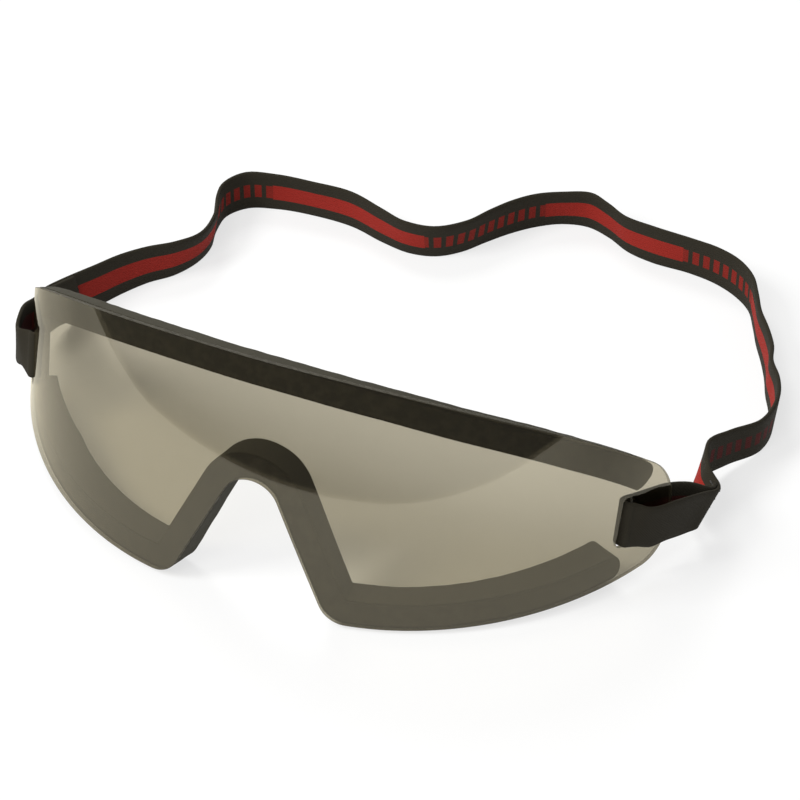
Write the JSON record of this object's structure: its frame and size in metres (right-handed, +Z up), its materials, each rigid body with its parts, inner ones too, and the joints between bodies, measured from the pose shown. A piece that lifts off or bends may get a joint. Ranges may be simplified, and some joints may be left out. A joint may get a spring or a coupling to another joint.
{
  "type": "driving goggles",
  "caption": "Wraparound driving goggles: one bent tinted lens, foam brow and cheek pads, and an elastic strap looped through a slot at each end of the lens.",
  "frame": {"origin": "centre of the footprint, on the table that the goggles stand on", "axes": "+X to the right and +Y away, seen from the front of the lens; +Z up; left and right in names are those of this view"},
  "size_m": [0.1977, 0.1865, 0.0711],
  "materials": {
    "tinted_plastic": "clear smoke tint, glossy",
    "tape": "dull black adhesive tape",
    "foam": "dull black foam with fine cells",
    "elastic": "black woven elastic with a red stripe",
    "thread": "black sewing thread"
  },
  "bodies": {
    "lens_set": {"lens": "tinted_plastic", "brow_tape": "tape", "brow_pad": "foam", "cheek_tape": "tape", "cheek_pad": "foam", "left_strap_loop": "elastic", "right_strap_loop": "elastic", "left_bar_tack": "thread", "right_bar_tack": "thread"},
    "strap": {"strap_band": "elastic"}
  },
  "joints": [
    {"name": "strap_swing", "type": "hinge", "parent": "lens_set", "child": "strap", "pos_m": [0, -0.01565, 0.00906], "axis": [1, 0, 0], "range_deg": [-15, 35]}
  ]
}
